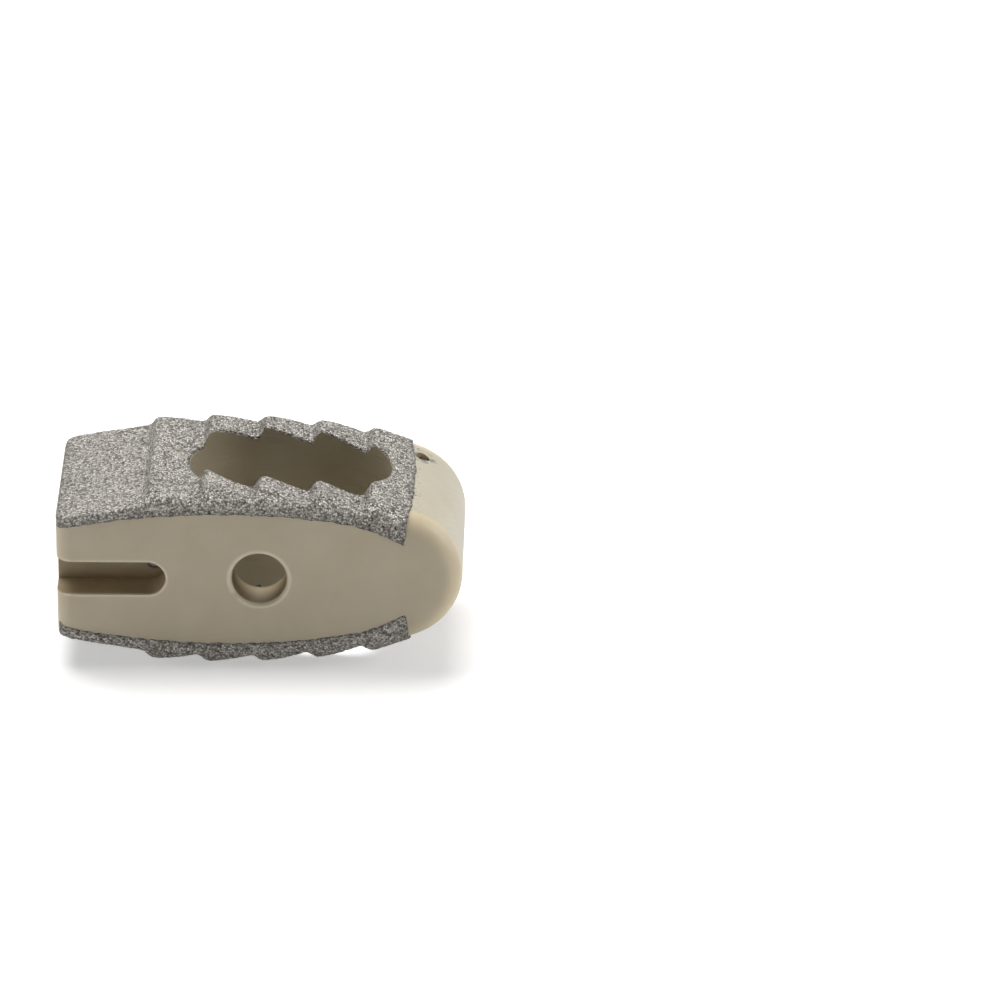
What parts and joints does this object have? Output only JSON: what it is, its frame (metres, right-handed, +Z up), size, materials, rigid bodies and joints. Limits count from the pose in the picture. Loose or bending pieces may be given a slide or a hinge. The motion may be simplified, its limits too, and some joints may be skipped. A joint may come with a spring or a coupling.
{
  "type": "spinal interbody cage",
  "caption": "Bullet-nosed lumbar interbody cage with toothed, domed bearing faces sprayed with rough titanium, a graft window, a cross bore and side slots for an inserter.",
  "frame": {"origin": "centre of the inserter's threaded hole on the flat rear face, on the mid-plane between the two bearing faces", "axes": "+X from the rear face to the round nose, +Y across the cage, +Z up to the upper bearing face"},
  "size_m": [0.022, 0.0102, 0.0108],
  "materials": {
    "cage_plastic": "satin machined PEEK-type plastic, beige",
    "sprayed_titanium": "rough plasma-sprayed titanium, light grey and sparkling",
    "marker_metal": "dull tantalum"
  },
  "bodies": {
    "root": {"cage_body": "cage_plastic", "upper_coating": "sprayed_titanium", "lower_coating": "sprayed_titanium", "rear_marker_pin": "marker_metal", "nose_marker_pin": "marker_metal"}
  },
  "joints": []
}
